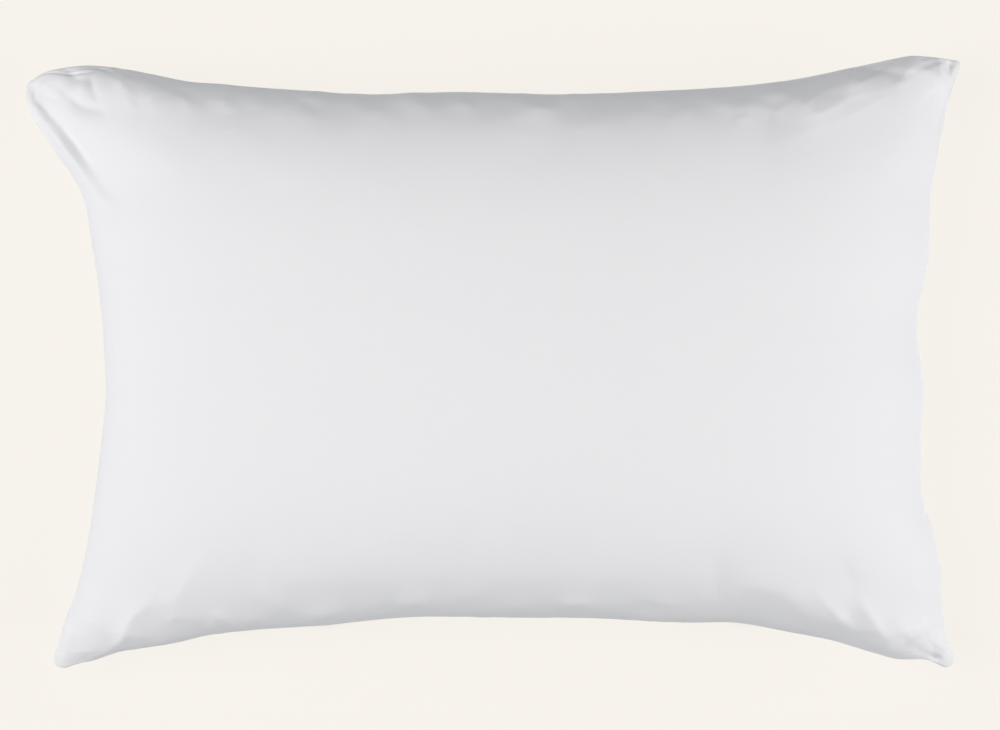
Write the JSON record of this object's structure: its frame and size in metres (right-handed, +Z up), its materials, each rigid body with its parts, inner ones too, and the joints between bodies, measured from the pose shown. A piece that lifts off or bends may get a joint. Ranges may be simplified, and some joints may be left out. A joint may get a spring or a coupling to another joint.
{
  "type": "filled pillow protector",
  "caption": "Plain white cotton pillow protector, filled: a sewn rectangular case with a soft crown, drawn-in sides and pointed corners, lying on its flattened back.",
  "frame": {"origin": "on the surface it lies on, under the middle of its outline", "axes": "+X along the length, +Y across the width, +Z up out of the front panel"},
  "size_m": [0.7238, 0.472, 0.1712],
  "materials": {
    "cotton": "matt white plain-weave cotton"
  },
  "bodies": {
    "root": {"pillow_protector": "cotton"}
  },
  "joints": []
}
